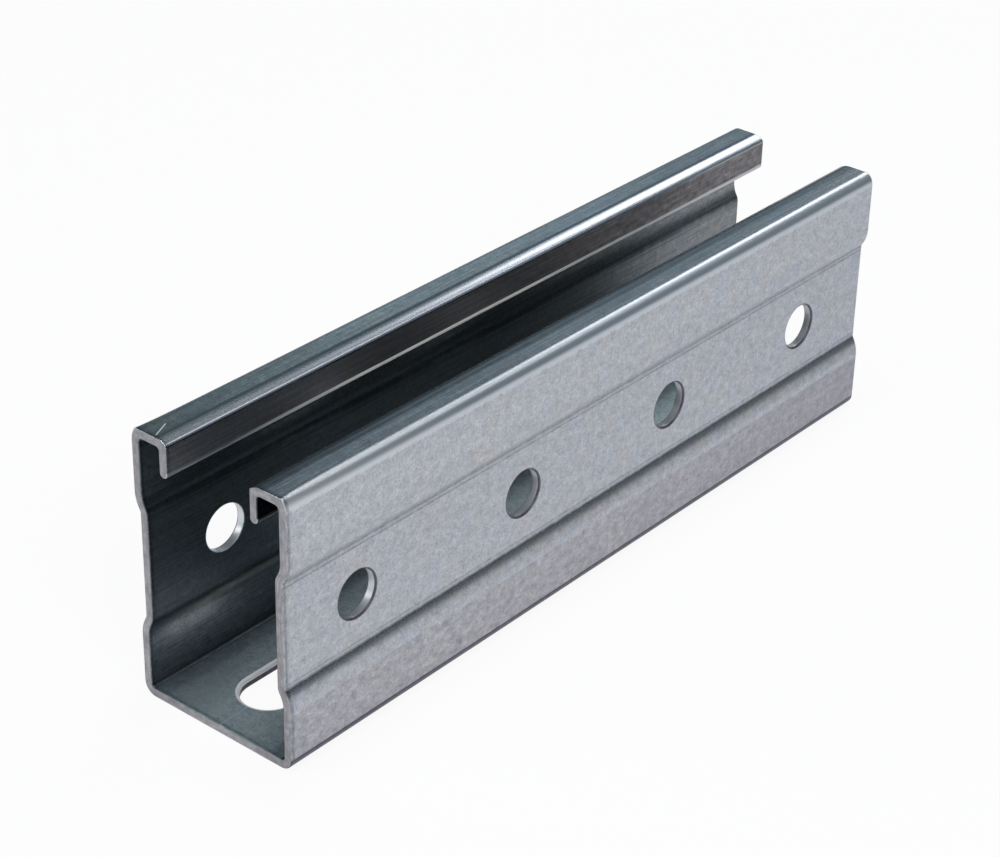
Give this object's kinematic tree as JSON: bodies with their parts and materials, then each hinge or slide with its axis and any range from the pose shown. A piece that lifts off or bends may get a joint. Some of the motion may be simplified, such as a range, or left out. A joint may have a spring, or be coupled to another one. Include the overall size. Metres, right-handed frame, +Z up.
{
  "type": "strut channel",
  "caption": "Deep C-section strut channel, roll-formed from zinc-coated sheet, with inturned lips, round side holes and slotted base",
  "frame": {"origin": "centre of the underside of the base, half way along the length", "axes": "+X along the length, +Y across the section, +Z up through the open slot between the lips"},
  "size_m": [0.195, 0.041, 0.062],
  "materials": {
    "galvanised_steel": "dull mottled zinc coating with fine lengthwise mill streaks, bright on the bends"
  },
  "bodies": {
    "root": {"strut_channel": "galvanised_steel"}
  },
  "joints": []
}
